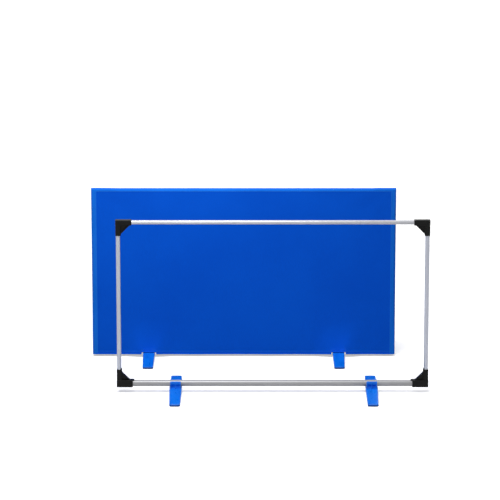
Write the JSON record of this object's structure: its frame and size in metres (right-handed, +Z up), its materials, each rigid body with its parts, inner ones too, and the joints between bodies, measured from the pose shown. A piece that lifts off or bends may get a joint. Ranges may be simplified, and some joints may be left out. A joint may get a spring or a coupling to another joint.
{
  "type": "table tennis barrier",
  "caption": "Free-standing sports court barrier: round tube frame with plastic corner connectors and clip-on feet, shown with its cloth cover and beside it uncovered.",
  "frame": {"origin": "on the floor at the middle of the pair's bounding box", "axes": "+X along the barriers, to the right as seen from the bare frame's side; +Y from the bare barrier to the covered one; +Z up"},
  "size_m": [1.529, 1.01, 0.7998],
  "materials": {
    "steel_tube": "bright drawn steel tube, satin to glossy",
    "connector_plastic": "black moulded plastic, fine grain",
    "foot_plastic": "bright blue moulded plastic, smooth satin gloss",
    "cover_cloth": "royal blue coated woven cloth, taut, slight sheen"
  },
  "bodies": {
    "covered_frame": {"covered_top_rail": "steel_tube", "covered_bottom_rail": "steel_tube", "covered_left_upright": "steel_tube", "covered_right_upright": "steel_tube", "covered_top_left_connector": "connector_plastic", "covered_top_right_connector": "connector_plastic", "covered_bottom_left_connector": "connector_plastic", "covered_bottom_right_connector": "connector_plastic"},
    "cover": {"cover_front_panel": "cover_cloth", "cover_back_panel": "cover_cloth", "cover_top_band": "cover_cloth", "cover_left_band": "cover_cloth", "cover_right_band": "cover_cloth"},
    "covered_left_foot": {"covered_left_foot": "foot_plastic"},
    "covered_right_foot": {"covered_right_foot": "foot_plastic"},
    "bare_frame": {"bare_top_rail": "steel_tube", "bare_bottom_rail": "steel_tube", "bare_left_upright": "steel_tube", "bare_right_upright": "steel_tube", "bare_top_left_connector": "connector_plastic", "bare_top_right_connector": "connector_plastic", "bare_bottom_left_connector": "connector_plastic", "bare_bottom_right_connector": "connector_plastic"},
    "bare_left_foot": {"bare_left_foot": "foot_plastic"},
    "bare_right_foot": {"bare_right_foot": "foot_plastic"}
  },
  "joints": [
    {"name": "cover_lift", "type": "slide", "parent": "covered_frame", "child": "cover", "axis": [0, 0, 1], "range_m": [0, 0.8]},
    {"name": "covered_left_foot_slide", "type": "slide", "parent": "covered_frame", "child": "covered_left_foot", "axis": [-1, 0, 0], "range_m": [-0.004, 0.004]},
    {"name": "covered_right_foot_slide", "type": "slide", "parent": "covered_frame", "child": "covered_right_foot", "axis": [1, 0, 0], "range_m": [-0.004, 0.004]},
    {"name": "bare_frame_slide", "type": "slide", "parent": "covered_frame", "child": "bare_frame", "axis": [0, -1, 0], "range_m": [0, 0.5]},
    {"name": "bare_left_foot_slide", "type": "slide", "parent": "bare_frame", "child": "bare_left_foot", "axis": [-1, 0, 0], "range_m": [-0.4, 0.165]},
    {"name": "bare_right_foot_slide", "type": "slide", "parent": "bare_frame", "child": "bare_right_foot", "axis": [1, 0, 0], "range_m": [-0.41, 0.155]}
  ]
}
